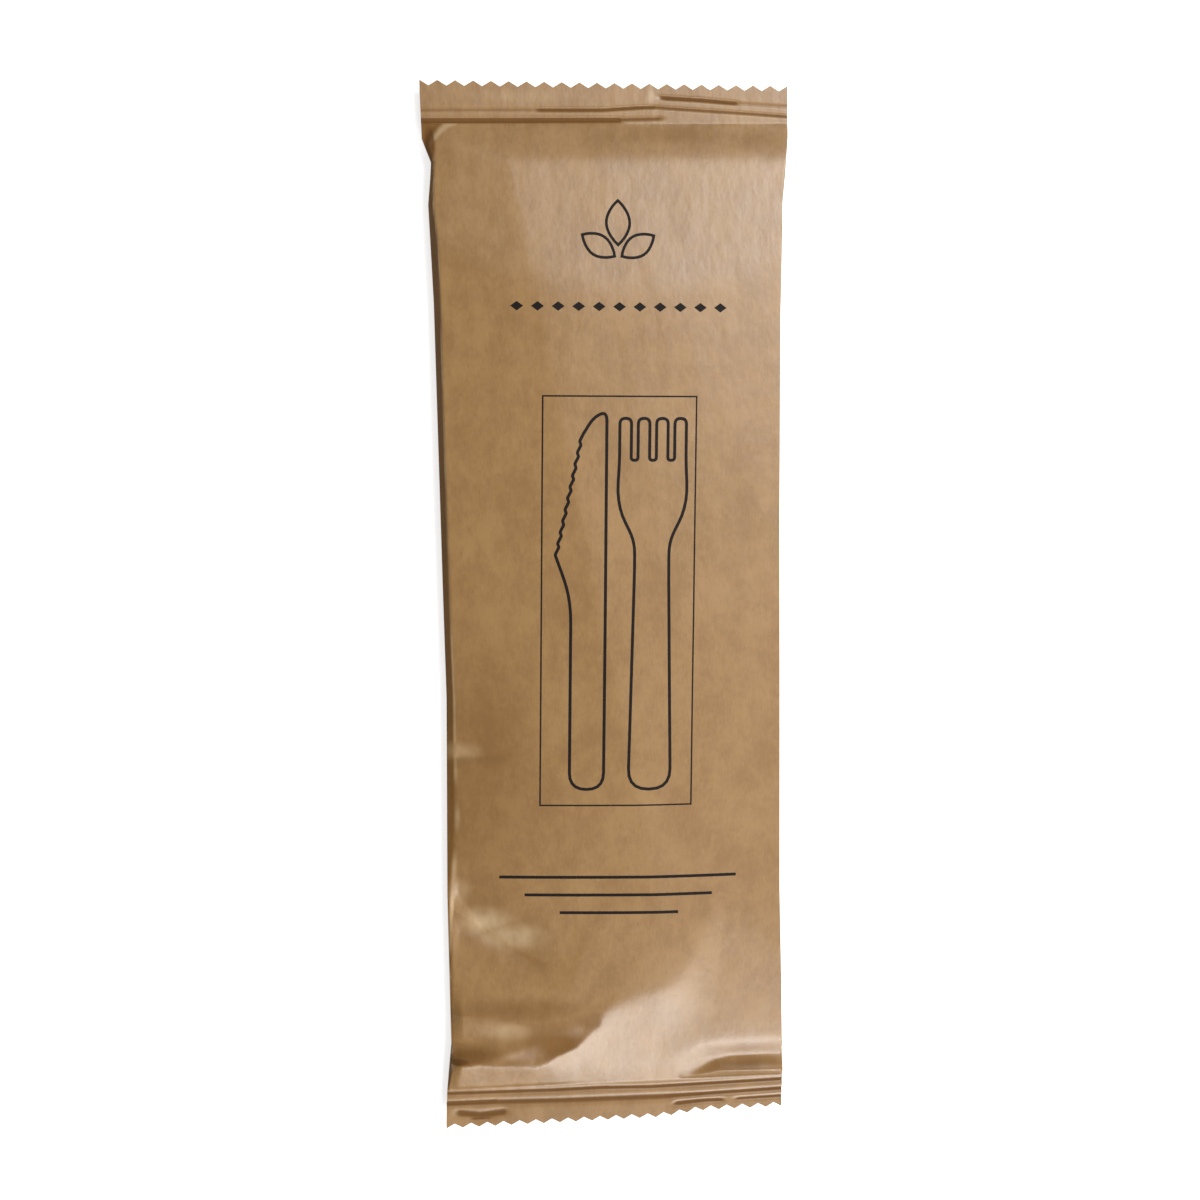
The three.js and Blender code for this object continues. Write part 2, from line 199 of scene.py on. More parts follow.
class FilmSizes(bpy.types.PropertyGroup):
    """Sizes of the sealed film."""

    pack_length: length("Length", "Tip to tip along the middle", 0.2092)
    pack_width: length("Width", "Width of the flat film at the end seals", 0.0723)
    crown_height: length("Height", "Highest point of the front", 0.0084)
    tooth_count: IntProperty(name="Teeth", description="Teeth of each cut end", default=21)
    top_tooth: length("Top teeth", "Depth of the zigzag cut at the top", 0.00105)
    bottom_tooth: length("Bottom teeth", "Depth of the zigzag cut at the bottom", 0.00095)
    cut_skew: number("Cut skew", "How far both cuts run askew for each unit of width", -0.011)
    top_skew: number("Top seal skew", "How far the top seal runs askew", 0.008)
    bottom_skew: number("Bottom seal skew", "How far the bottom seal runs askew", -0.014)
    bottom_bulge: length("Bulge", "How far the left of the bottom cut stands out", 0.001)
    top_seal: length("Top seal", "Length of the top seal", 0.00775)
    bottom_seal: length("Bottom seal", "Length of the bottom seal", 0.0071)
    seal_thickness: length("Seal thickness", "Thickness of a pressed seal", 0.0004)
    seal_height: length("Seal height", "Middle of the seals above the ground", 0.0026)
    fin_root: length("Fin root", "Root of the back fin, right of the middle line", -0.0029)
    fin_edge: length("Fin edge", "Free edge of the back fin, right of the middle line", 0.0094)
    fin_thickness: length("Fin thickness", "Thickness of the folded fin", 0.0003)
    fin_reach: length("Fin reach", "Where the film beside the fin has settled", 0.014)
    back_ramp: length("Back ramp", "Length over which the back rises to a seal", 0.014)


class PaperFinish(bpy.types.PropertyGroup):
    """Colours and gloss of the paper and the ink."""

    paper: colour("Paper", "Middle tone of the kraft paper", (0.238, 0.122, 0.032))
    pale_fibre: colour("Pale fibre", "Pale fibres and clouds", (0.312, 0.17, 0.0525))
    dark_fibre: colour("Dark fibre", "Dark fibres and specks", (0.178, 0.084, 0.02))
    # Pressed paper, also the colour of the painted shade and of the painted shadow in tucked corners
    pressed: colour("Pressed", "Paper at the bottom of a pressed groove", (0.11, 0.045, 0.011))
    # Pale paper of the crease wear, also the colour of the painted highlights
    worn_and_highlit: colour("Worn", "Paper worn pale along a crease", (0.5, 0.36, 0.2))
    ink: colour("Ink", "Printed lines", (0.009, 0.006, 0.005))
    roughness: number("Roughness", "Roughness of the glazed side", 0.41)


class StudioSetup(bpy.types.PropertyGroup):
    """Camera, lamps and floor."""

    tilt: angle("Tilt", "Turn of the pack about its width as the camera sees it", 0.13224)
    turn: angle("Turn", "Turn of the pack about its length as the camera sees it", 0.13968)
    roll: angle("Roll", "Turn of the pack in the picture", 0.02756)
    distance: length("Distance", "Camera to the middle of the pack", 0.4)
    slide_x: length("Slide across", "Shift of the pack to the right", 0.00179)
    slide_y: length("Slide up", "Shift of the pack upwards", -0.00297)
    lens: number("Lens", "Focal length in millimetres on a 36 mm sensor", 59.3)
    key_power: number("Key", "Power of the low softbox at the bottom end in watts", 7.1)
    top_power: number("Top", "Power of the softbox at the top right in watts", 6.6)
    fill: number("Fill", "Strength of the light from all around", 0.22)
    floor: colour("Floor", "Colour of the floor", (0.86, 0.86, 0.86))
    floor_lift: number("Floor lift", "Light added to the floor as the camera sees it", 0.7)


class FilmShape:
    """Heights of the film over its plan. Rows run along the pack; lengths are in millimetres."""

    # Planes of the front: a shoulder or a rest is a level and a slope, a drop is a depth and a
    # reach, and a turn, an end or a held edge is the two places between which it sets in
    edge_top = 3.1
    edge_bottom = 2.0
    right_wall_slope = 6
    top_wall_slope = 0.36
    top_shoulder = (4.5, 0.12)
    bottom_wall_slope = 0.37
    bottom_shoulder = (3.35, 0.22)
    bottom_right_shoulder = (5.4, 0.07)
    bottom_turn = (8, 22)
    bottom_rest = (7.2, 0.036)
    back_edge_slope = 1.1
    crown_x = 3.0
    crown_fall = 0.0009
    edge_drop = (0.9, 7)
    facet_end = (4, 12)
    facet_end_share = 0.6
    facet_softness = 1.0
    fold_softness = 0.15
    fold_fade = 0.7
    held_left = (-0.2, 2.4)
    held_right = (-0.5, 0.6)
    bulge_edge = (20, 8)
    bulge_inset = 3
    groove_end = 1

    # Waves, gathers and crumples: height, cell across and along, and seed of the noise
    wave = (0.05, (9, 16), 11)
    ripple = (0.02, (4, 7), 12)
    gather = (0.04, (1.6, 9), 13)
    crumple = (0.03, (3.2, 3.0), 14)
    wave_margins = (6, 5)
    gather_length = 3

    # Tones of painted shade, shadow and highlights, of crease wear and of the seals: shares from 0 to
    # 1, and the places over which they set in
    crease_shade = 0.5
    shaded_reach = 1
    seal_tone = 0.13
    tuck_shadow_tone = 0.4
    tuck_edge = (-0.3, 0.5)
    wall_edge = (-0.1, 0.35)
    wall_width = 4
    wall_crest = 0.3
    wear_cell = (3, 5)
    wear_seed = 15
    wear_limits = (-0.6, 0.5)

    # Columns across, as shares of the width where they are close, and steps between rows
    columns_per_tooth = 8
    back_columns_per_tooth = 2
    close_columns = ((0, 0.05, 18), (0.985, 1, 6))
    seal_step = 0.22
    steps_below_top_line = ((5, 0.4), (22, 1.0))
    steps_from_rows = ((-22, 0.4), (-32, 1.0), (-50, 0.45), (-74, 0.3))

    def __init__(self, sizes):
        self.half_length = sizes.pack_length / MM / 2
        self.half_width = sizes.pack_width / MM / 2
        self.crown_height = sizes.crown_height / MM
        self.tooth_count = sizes.tooth_count
        self.top_tooth = sizes.top_tooth / MM
        self.bottom_tooth = sizes.bottom_tooth / MM
        self.bottom_bulge = sizes.bottom_bulge / MM
        self.seal_top = (sizes.seal_height + sizes.seal_thickness / 2) / MM
        self.seal_bottom = (sizes.seal_height - sizes.seal_thickness / 2) / MM
        self.top_line = self.half_length - sizes.top_seal / MM
        self.bottom_line = sizes.bottom_seal / MM - self.half_length
        self.skew_rows = (-self.half_length, self.bottom_line, self.top_line, self.half_length)
        self.skews = (sizes.cut_skew, sizes.bottom_skew, sizes.top_skew, sizes.cut_skew)
        self.fin_thickness = sizes.fin_thickness / MM
        self.fin_reach = sizes.fin_reach / MM
        self.back_ramp = sizes.back_ramp / MM
        segments = 2 * self.tooth_count
        self.fin_shares = [
            (math.floor((0.5 + place / sizes.pack_width) * segments) + 0.5) / segments
            for place in (sizes.fin_root, sizes.fin_edge)
        ]

    def crown(self, x):
        """Height of the broad crown."""
        return self.crown_height - self.crown_fall * (x - self.crown_x) ** 2

    def facet_drop(self, facet, x, up):
        """How far a facet lies below the crown."""
        (ax, ay), (bx, by), slope = facet
        apart = ((by - ay) * (x - ax) - (bx - ax) * (up - ay)) / math.hypot(bx - ax, by - ay)
        apart = apart * math.copysign(1, by - ay)
        return slope * (np.hypot(apart, self.facet_softness) - apart) / 2

    def crease_rise(self, crease, x, up):
        """Rise of a crease at points, and from 0 to 1 how much they lie on its side facing the top."""
        path, rise, below, above, radius = crease
        nearest, side, travel, done = np.inf, 0.0, 0.0, 0.0
        for (ax, ay), (bx, by) in zip(path[:-1], path[1:]):
            dx, dy = bx - ax, by - ay
            size = math.hypot(dx, dy)
            share = np.clip(((x - ax) * dx + (up - ay) * dy) / size ** 2, 0, 1)
            gap = np.hypot(x - ax - share * dx, up - ay - share * dy)
            nearer = gap < nearest
            side = np.where(nearer, dx * (up - ay) - dy * (x - ax), side)
            travel = np.where(nearer, done + share * size, travel)
            nearest = np.where(nearer, gap, nearest)
            done += size
        taper = 1 - (2 * travel / done - 1) ** 2
        reach = np.where(side > 0, above, below)
        crest = np.exp(-(np.hypot(nearest, radius) - radius) / reach)
        turned = taper * crest * (side * rise > 0) * (reach > self.shaded_reach)
        return rise * taper * crest, turned

    def marked(self, places, x, up):
        """How strongly points lie in a list of places."""
        strength = 0 * (x + up)
        for (at_x, at_up), (half_x, half_up), most in places:
            gap = np.hypot((x - at_x) / half_x, (up - at_up) / half_up)
            strength = np.maximum(strength, most * bell(gap))
        return strength

    def left_edge(self, row):
        """Left edge of the film at a row."""
        return value_at(LEFT_INSETS, row) - self.half_width

    def right_edge(self, row):
        """Right edge of the film at a row."""
        return self.half_width - value_at(RIGHT_INSETS, row)

    def front_planes(self, x, row):
        """Height of the front without its folds, and how far its crown lies over its left wall."""
        from_left = x - self.left_edge(row)
        from_right = self.right_edge(row) - x
        from_top = self.top_line - row
        up = row - self.bottom_line
        base = soft_lowest([
            self.crown(x) + 0 * row,
            self.top_shoulder[0] + self.top_shoulder[1] * from_top + 0 * x,
        ], self.fold_softness)
        share = self.facet_end_share + (1 - self.facet_end_share) * ease(*self.facet_end, up)
        base = base - share * np.maximum(*(self.facet_drop(facet, x, up) for facet in FACETS))
        edge = self.edge_top - self.edge_drop[0] * (1 - ease(0, self.edge_drop[1], from_top))
        wall = edge + value_at(LEFT_WALL_SLOPES, row) * from_left
        left_shoulder = self.bottom_shoulder[0] + self.bottom_shoulder[1] * up
        right_shoulder = self.bottom_right_shoulder[0] + self.bottom_right_shoulder[1] * up
        turn = ease(*self.bottom_turn, x)
        shoulder = left_shoulder + (right_shoulder - left_shoulder) * turn
        height = soft_lowest([
            base,
            wall,
            self.edge_top + self.right_wall_slope * from_right,
            self.seal_top + self.top_wall_slope * from_top + 0 * x,
            self.seal_top + self.bottom_wall_slope * up + 0 * x,
            shoulder,
            self.bottom_rest[0] + self.bottom_rest[1] * up + 0 * x,
        ], self.fold_softness)
        return height, base - wall

    def body_front(self, x, row):
        """Height of the front between the end seals, its crease wear and painted highlights, and its
        painted shade.
        """
        from_left = x - self.left_edge(row)
        from_right = self.right_edge(row) - x
        up = row - self.bottom_line
        inward = np.minimum(self.top_line - row, up)
        height, over_wall = self.front_planes(x, row)
        # A pale line along the left wall's crest, partly crease wear and partly painted highlight, and
        # the painted highlights where light falls strongly
        wear = soft_noise(x, row, self.wear_cell, self.wear_seed)
        worn_and_highlit = bell(over_wall / self.wall_crest) * ease(*self.wear_limits, wear)
        worn_and_highlit = np.maximum(worn_and_highlit, self.marked(PAINTED_HIGHLIGHTS, x, up))

        # Folds, and painted shade on the side of each crease that faces the top end, away from the key
        # lamp
        folded = 0 * height
        shade = 0 * height
        for crease in CREASES:
            rise, turned = self.crease_rise(crease, x, up)
            shade = np.maximum(shade, self.crease_shade * turned)
            folded = folded + rise
        folded = folded - self.marked(DENTS, x, up)

        inside = ease(0, self.wave_margins[0], np.minimum(from_left, from_right))
        inside = inside * ease(0, self.wave_margins[1], inward)
        waves = height_noise(x, row, self.wave) + height_noise(x, row, self.ripple)
        near_end = np.exp(-np.maximum(inward, 0) / self.gather_length)
        gathers = height_noise(x, row, self.gather) * near_end
        gathers = gathers + height_noise(x, row, self.crumple) * self.marked(CRUMPLED, x, up)
        fade = ease(0, self.fold_fade, inward)
        held = ease(*self.held_left, from_left) * ease(*self.held_right, from_right)
        soft = (folded * held + gathers) * fade + waves * inside

        # Painted shade on the patches above the tucked fold's crest
        tucked = ease(*self.tuck_edge, up - np.interp(x, *zip(*TUCK_CREST)))
        tucked = np.maximum(tucked, x > TUCK_CREST[-1][0])
        shade = np.maximum(shade, tucked * self.marked(PAINTED_SHADE, x, up))
        # Painted shade on the left wall
        wall_shade = ease(*self.wall_edge, over_wall) * (from_left < self.wall_width)
        shade = np.clip(np.maximum(wall_shade, shade), 0, 1)
        return np.maximum(height + soft, self.seal_top), worn_and_highlit, shade

    def fin_level(self, row):
        """Level of the outer face of the back fin."""
        inward = np.minimum(self.top_line - row, row - self.bottom_line)
        return (self.seal_bottom - self.fin_thickness) * (1 - ease(0, self.back_ramp, inward))

    def body_back(self, x, row, fin_gap):
        """Level of the back beside the fin."""
        inward = np.minimum(self.top_line - row, row - self.bottom_line)
        settled = 1 + (bell(fin_gap / self.fin_reach) - 1) * ease(0, self.back_ramp, inward)
        film = self.fin_level(row) + self.fin_thickness * settled
        from_edge = np.minimum(x - self.left_edge(row), self.right_edge(row) - x)
        return np.maximum(film, self.edge_bottom - self.back_edge_slope * from_edge)

    def pressed(self, x, row):
        """Depth of the grooves that the jaws press into the seals."""
        depth = 0 * row * x
        for grooves, outward in (
            (TOP_GROOVES, row - self.top_line), (BOTTOM_GROOVES, self.bottom_line - row)
        ):
            for path, half_width, deep in grooves:
                start, stop, end = path[0][0], path[-1][0], self.groove_end
                stretch = ease(start - end, start + end, x) * ease(stop + end, stop - end, x)
                centre = np.interp(x, *zip(*path))
                depth = np.maximum(depth, deep * stretch * bell((outward - centre) / half_width))
        return depth

    def is_seal(self, row):
        """Whether a row lies in one of the end seals."""
        return (row >= self.top_line) | (row <= self.bottom_line)

    def rows(self):
        """Rows along the pack from the top teeth to the bottom teeth, close where the folds are."""
        marks = [(self.half_length - self.top_tooth, self.seal_step)]
        marks += [(self.top_line - below, step) for below, step in self.steps_below_top_line]
        marks += [*self.steps_from_rows, (self.bottom_tooth - self.half_length, 0)]
        pieces = []
        for (start, step), (stop, _) in zip(marks[:-1], marks[1:]):
            count = math.ceil((start - stop) / step)
            pieces.append(np.linspace(start, stop, count, endpoint=False))
        return np.concatenate([*pieces, [marks[-1][0]]])

    def tooth(self, share):
        """How far the cut stands out at a share of the width, from 0 in a root to 1 at a tip."""
        step = share * 2 * self.tooth_count
        return abs(step % 2 - 1)

    def ahead(self, row, x, cut):
        """Place along the pack of points in a row, with the skew of the seals and the teeth."""
        skew = np.interp(row, self.skew_rows, self.skews)
        start, tip = self.bottom_line - self.bulge_inset, self.bottom_tooth - self.half_length
        bulge = self.bottom_bulge * ease(start, tip, row) * ease(*self.bulge_edge, x)
        return row + cut + skew * x - bulge

    def grid(self):
        """Points of the front and the back, row by row, both from left to right, and their marks."""
        rows = self.rows()[:, None]
        front = np.linspace(0, 1, self.tooth_count * self.columns_per_tooth + 1)
        close = [np.linspace(*columns) for columns in self.close_columns]
        front = np.unique(np.concatenate([front, *close]).round(6))
        back = np.linspace(0, 1, self.tooth_count * self.back_columns_per_tooth + 1)
        on_fin = (back > self.fin_shares[0]) & (back < self.fin_shares[1])
        order = np.zeros(len(back))
        steps = [(self.fin_shares[0], False, 0), (self.fin_shares[0], True, 1)]
        steps += [(self.fin_shares[1], True, 0), (self.fin_shares[1], False, 1)]
        back = np.concatenate([back, [step[0] for step in steps]])
        on_fin = np.concatenate([on_fin, [step[1] for step in steps]])
        order = np.lexsort((np.concatenate([order, [step[2] for step in steps]]), back))
        back, on_fin = back[order], on_fin[order]
        gap = np.maximum(np.maximum(self.fin_shares[0] - back, back - self.fin_shares[1]), 0)
        gap = gap * self.half_width * 2

        left, right = self.left_edge(rows), self.right_edge(rows)
        seal = self.is_seal(rows)
        outward = np.zeros_like(rows)
        outward[0], outward[-1] = self.top_tooth, -self.bottom_tooth

        x = left + front * (right - left)
        press = self.pressed(x, rows)
        body, worn_and_highlit, shade = self.body_front(x, rows)
        # On the seals only the painted highlights
        worn_and_highlit = np.where(seal, self.marked(PAINTED_HIGHLIGHTS, x, rows - self.bottom_line), worn_and_highlit)
        z = np.where(seal, self.seal_top - press, body)
        y = self.ahead(rows, x, outward * self.tooth(front))
        front_points = np.stack([x, y, z], axis=-1)
        # Painted shadow in the tucked corners, carried in the pressed mark
        tuck_shadows = self.tuck_shadow_tone * self.marked(TUCK_SHADOWS, x, rows - self.bottom_line)
        front_marks = np.stack([
            np.where(seal, press, tuck_shadows), worn_and_highlit, np.where(seal, self.seal_tone, shade),
        ], axis=-1)

        x = left + back * (right - left)
        press = self.pressed(x, rows)
        in_seal = self.seal_bottom - press
        film = np.where(seal, in_seal, self.body_back(x, rows, gap))
        fin = np.where(seal, in_seal - self.fin_thickness, self.fin_level(rows))
        z = np.where(on_fin, fin, film)
        y = self.ahead(rows, x, outward * self.tooth(back))
        back_points = np.stack([x, y, z], axis=-1)
        back_marks = np.stack([press * seal, 0 * press, 0 * press], axis=-1)
        return front_points, back_points, front_marks, back_marks


def value_at(points, along):
    """A value at a place along the pack, read between points that run from top to bottom."""
    places, values = zip(*reversed(points))
    return np.interp(along, places, values)


def ease(low, high, value):
    """Rises smoothly from 0 at the first limit to 1 at the second."""
    t = np.clip((value - low) / (high - low), 0, 1)
    return t * t * (3 - 2 * t)


def bell(distance):
    """1 at no distance, falling smoothly to 0 at a distance of 1."""
    t = np.clip(1 - distance * distance, 0, 1)
    return t * t


def soft_lowest(heights, softness):
    """Lowest of several heights, rounded where two of them meet."""
    heights = np.stack(np.broadcast_arrays(*heights))
    lowest = heights.min(axis=0)
    return lowest - softness * np.log(np.exp((lowest - heights) / softness).sum(axis=0))


def soft_noise(x, y, cell, seed):
    """Smooth seeded noise from -1 to 1, with a cell size across and along in millimetres."""
    size, offset = 64, 500
    table = np.random.default_rng(seed).uniform(-1, 1, (size, size))
    u, v = np.broadcast_arrays(x / cell[0] + offset, y / cell[1] + offset)
    i, j = np.floor(u).astype(int), np.floor(v).astype(int)
    s, t = ease(0, 1, u - i), ease(0, 1, v - j)
    next_i, next_j = (i + 1) % size, (j + 1) % size
    i, j = i % size, j % size
    low = table[i, j] * (1 - s) + table[next_i, j] * s
    high = table[i, next_j] * (1 - s) + table[next_i, next_j] * s
    return low * (1 - t) + high * t


def height_noise(x, y, settings):
    """Smooth noise times its height, from the height, the cell and the seed."""
    height, cell, seed = settings
    return height * soft_noise(x, y, cell, seed)


def zip_faces(front, back, x, outward):
    """Faces of one cut end between its front line and its back line, in order across the pack."""
    hair = 1e-9
    faces = []
    f = b = 0
    while f < len(front) - 1 or b < len(back) - 1:
        step_front = b == len(back) - 1 or (
            f < len(front) - 1 and x[front[f + 1]] <= x[back[b + 1]] + hair
        )
        if step_front:
            face = (front[f], front[f + 1], back[b])
            f += 1
        else:
            face = (front[f], back[b + 1], back[b])
            b += 1
        faces.append(face if outward > 0 else face[::-1])
    return faces


def film_mesh(sizes):
    """Closed mesh of the film, centred as the solid is, with its marks as attributes."""
    front, back, front_marks, back_marks = FilmShape(sizes).grid()
    back, back_marks = back[:, ::-1], back_marks[:, ::-1]
    ring = np.concatenate([front, back], axis=1)
    rows, around = ring.shape[:2]
    points = ring.reshape(-1, 3)
    low, high = points.min(axis=0), points.max(axis=0)
    shift = np.array([-(low[0] + high[0]) / 2, -(low[1] + high[1]) / 2, -low[2]])
    points = points + shift

    index = np.arange(rows * around).reshape(rows, around)
    a, b = index[:-1], np.roll(index, -1, axis=1)[:-1]
    c, d = np.roll(index, -1, axis=1)[1:], index[1:]
    quads = np.stack([a, d, c, b], axis=-1).reshape(-1, 4)
    faces = [tuple(quad) for quad in quads.tolist()]
    across = front.shape[1]
    for row, outward in ((0, 1), (rows - 1, -1)):
        line = index[row].tolist()
        faces += zip_faces(line[:across], line[across:][::-1], points[:, 0], outward)

    mesh = bpy.data.meshes.new("kraft_film")
    mesh.from_pydata((points * MM).tolist(), [], faces)
    marks = np.concatenate([front_marks, back_marks], axis=1).reshape(-1, 3)
    for name, values in zip(MARKS, marks.T):
        layer = mesh.attributes.new(name, "FLOAT", "POINT")
        layer.data.foreach_set("value", np.ascontiguousarray(values))
    mesh.shade_smooth()
    mesh.set_sharp_from_angle(angle=math.radians(SHARP_ANGLE))
    mesh.update()
    return mesh, shift


class Wire:
    """A number in a material that takes part in Python sums by adding Math nodes."""

    def __init__(self, bench, socket):
        self.bench = bench
        self.socket = socket

    def sum(self, operation, first, second):
        """One Math node on two values."""
        return self.bench.add("ShaderNodeMath", {"operation": operation}, {0: first, 1: second})

    def __add__(self, other):
        return self.sum("ADD", self, other)

    def __radd__(self, other):
        return self.sum("ADD", other, self)

    def __sub__(self, other):
        return self.sum("SUBTRACT", self, other)

    def __mul__(self, other):
        return self.sum("MULTIPLY", self, other)


class NodeBench:
    """Adds nodes to one material or world."""

    def __init__(self, owner):
        owner.use_nodes = True
        self.tree = owner.node_tree
        self.tree.nodes.clear()

    def add(self, kind, settings=None, inputs=None, output=0):
        """Adds a node, sets it up, feeds its sockets and returns one of its outputs."""
        node = self.tree.nodes.new(kind)
        for name, value in (settings or {}).items():
            setattr(node, name, value)
        for key, value in (inputs or {}).items():
            if isinstance(value, Wire):
                self.tree.links.new(value.socket, node.inputs[key])
            else:
                node.inputs[key].default_value = value
        return Wire(self, node.outputs[output]) if len(node.outputs) else None

    def spot(self, scale):
        """Position on the object in cells of the given sizes, in millimetres."""
        place = self.add("ShaderNodeTexCoord", output="Object")
        factors = tuple(1 / MM / size for size in scale)
        settings = {"operation": "MULTIPLY"}
        return self.add("ShaderNodeVectorMath", settings, {0: place, 1: factors})

    def noise(self, scale, detail=2.0):
        """Noise from 0 to 1 with a cell of the given sizes, in millimetres."""
        inputs = {"Vector": self.spot(scale), "Scale": 1.0, "Detail": detail, "Roughness": 0.55}
        return self.add("ShaderNodeTexNoise", None, inputs, "Fac")

    def band(self, value, low, high):
        """0 below the first limit, 1 above the second, clamped between."""
        settings = {"interpolation_type": "SMOOTHSTEP"}
        inputs = {"Value": value, "From Min": low, "From Max": high}
        return self.add("ShaderNodeMapRange", settings, inputs, "Result")

    def mark(self, name):
        """A mark that the film's mesh carries."""
        return self.add("ShaderNodeAttribute", {"attribute_name": name}, None, "Fac")

    def bump(self, strength, distance, height, under=None):
        """Surface direction with a small relief, laid over another one if that is given."""
        inputs = {"Strength": strength, "Distance": distance, "Height": height}
        if under is not None:
            inputs["Normal"] = under
        return self.add("ShaderNodeBump", None, inputs)

    def surface(self, tone, roughness, specular, **more):
        """A plain surface of one tone."""
        inputs = {"Base Color": tone, "Roughness": roughness, "Specular IOR Level": specular}
        return self.add("ShaderNodeBsdfPrincipled", None, {**inputs, **more})

    def mix(self, share, first, second):
        """Mixes two colours."""
        first, second = (
            value if isinstance(value, Wire) else (*value, 1.0) for value in (first, second)
        )
        return self.add("ShaderNodeMix", {"data_type": "RGBA"}, {0: share, 6: first, 7: second}, 2)


def paper_material(finish):
    """Kraft paper with clouds and fibres, painted shade and highlights, glazed but for its grooves and
    shaded places.
    """
    material = bpy.data.materials.new("kraft_paper")
    bench = NodeBench(material)
    pale_share, dark_share, shade_share, groove_share = 0.8, 0.22, 0.6, 0.8
    fine_strength, fine_depth = 0.35, 0.00004
    ripple_strength, ripple_depth = 0.6, 0.00012
    matt_roughness, glazed_specular, matt_specular = 0.7, 0.9, 0.15
    clouds = bench.noise((9, 13, 11), 2.0)
    blots = bench.noise((3.2, 4.2, 4), 2.0)
    flecks = bench.noise((0.9, 1.3, 1.2), 2.0)
    specks = bench.noise((0.33, 0.55, 0.4), 3.0)
    fibres = bench.noise((0.25, 1.5, 0.5), 2.0)
    cross_fibres = bench.noise((1.4, 0.25, 0.5), 2.0)
    pressed, worn_and_highlit, shade = (bench.mark(name) for name in MARKS)

    pale = bench.band(clouds * 0.35 + blots * 0.3 + flecks * 0.2 + fibres * 0.15, 0.38, 0.62)
    tone = bench.mix(pale * pale_share, tuple(finish.paper), tuple(finish.pale_fibre))
    dark = bench.band(specks * 0.5 + cross_fibres * 0.5, 0.52, 0.72)
    tone = bench.mix(dark * dark_share, tone, tuple(finish.dark_fibre))
    # Painted shade of the folds, the patches and the left wall, and the seals' own duller tone
    tone = bench.mix(shade * shade_share, tone, tuple(finish.pressed))
    # Crease wear and painted highlights
    tone = bench.mix(worn_and_highlit * (0.1 + blots * 0.9), tone, tuple(finish.worn_and_highlit))
    # Grooves darkened, partly heat-darkened paper and partly painted shade, and painted shadow in
    # tucked corners
    groove_and_tuck_shade = bench.band(pressed, 0.02, 0.22)
    tone = bench.mix(groove_and_tuck_shade * groove_share, tone, tuple(finish.pressed))

    gloss = finish.roughness + (clouds - 0.5) * 0.08 + (fibres - 0.5) * 0.1
    relief = specks * 0.4 + fibres * 0.3 + cross_fibres * 0.3
    fine = bench.bump(fine_strength, fine_depth, relief)
    ripple = bench.noise((2.4, 4.5, 3.0), 2.0) * 0.92 + bench.noise((1.0, 14, 3.0), 1.0) * 0.08
    skin = {"Normal": bench.bump(ripple_strength, ripple_depth, ripple, fine), "IOR": 1.5}
    glazed = bench.surface(tone, gloss, glazed_specular, **skin)
    matt = bench.surface(tone, matt_roughness, matt_specular, **skin)
    dull = bench.add("ShaderNodeMath", {"operation": "MAXIMUM"}, {0: groove_and_tuck_shade, 1: shade})
    shader = bench.add("ShaderNodeMixShader", None, {0: dull, 1: glazed, 2: matt})
    bench.add("ShaderNodeOutputMaterial", None, {"Surface": shader})
    return material


def ink_material(finish):
    """Matt dark ink, a little scuffed by the fibres under it."""
    material = bpy.data.materials.new("printing_ink")
    bench = NodeBench(material)
    worn_share, roughness, specular = 0.12, 0.6, 0.15
    worn_and_highlit = bench.band(bench.noise((0.3, 0.5, 0.4), 3.0), 0.6, 0.8)
    tone = bench.mix(worn_and_highlit * worn_share, tuple(finish.ink), tuple(finish.paper))
    shader = bench.surface(tone, roughness, specular)
    bench.add("ShaderNodeOutputMaterial", None, {"Surface": shader})
    return material


def add_piece(name, mesh, material):
    """Adds a mesh as a piece of the pack with one material."""
    mesh.materials.append(material)
    piece = bpy.data.objects.new(name, mesh)
    bpy.context.scene.collection.objects.link(piece)
    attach(piece, "root")
    return piece


def rounded(corners, steps=6):
    """Points of a closed outline whose corners, given as x, y and radius, are rounded."""
    least_step = 0.02
    points = []
    count = len(corners)
    for i, (x, y, radius) in enumerate(corners):
        corner = np.array([x, y])
        before = np.array(corners[i - 1][:2]) - corner
        after = np.array(corners[(i + 1) % count][:2]) - corner
        start = corner + before * min(radius / np.hypot(*before), 0.5)
        end = corner + after * min(radius / np.hypot(*after), 0.5)
        for t in np.linspace(0, 1, steps):
            points.append(start * (1 - t) ** 2 + corner * 2 * t * (1 - t) + end * t ** 2)
    points = np.array(points)
    apart = np.hypot(*(points - np.roll(points, 1, axis=0)).T) > least_step
    return points[apart]


def knife_outline():
    """Outline of a plain serrated knife, in millimetres from the middle of the panel."""
    back, handle, belly, shoulder = -2.6, -9.4, -12.3, -7.2
    top, serration_top, serration_end, bottom = 38.0, 33.6, 9.0, -37.6
    teeth, tooth_depth, tooth_length = 11, 0.75, 1.5
    corners = [(back, bottom, 3.4), (back, top, 2.0), (-5.2, top - 1.2, 1.6)]
    for n in range(teeth):
        share = n / teeth
        x = shoulder + (belly - shoulder) * share
        y = serration_top + (serration_end - serration_top) * share
        corners.append((x, y, 0.2))
        corners.append((x - tooth_depth, y - tooth_length, 0.3))
    corners += [(belly, serration_end, 1.0), (handle, 1.0, 5.0), (handle, bottom, 3.4)]
    return rounded(corners)


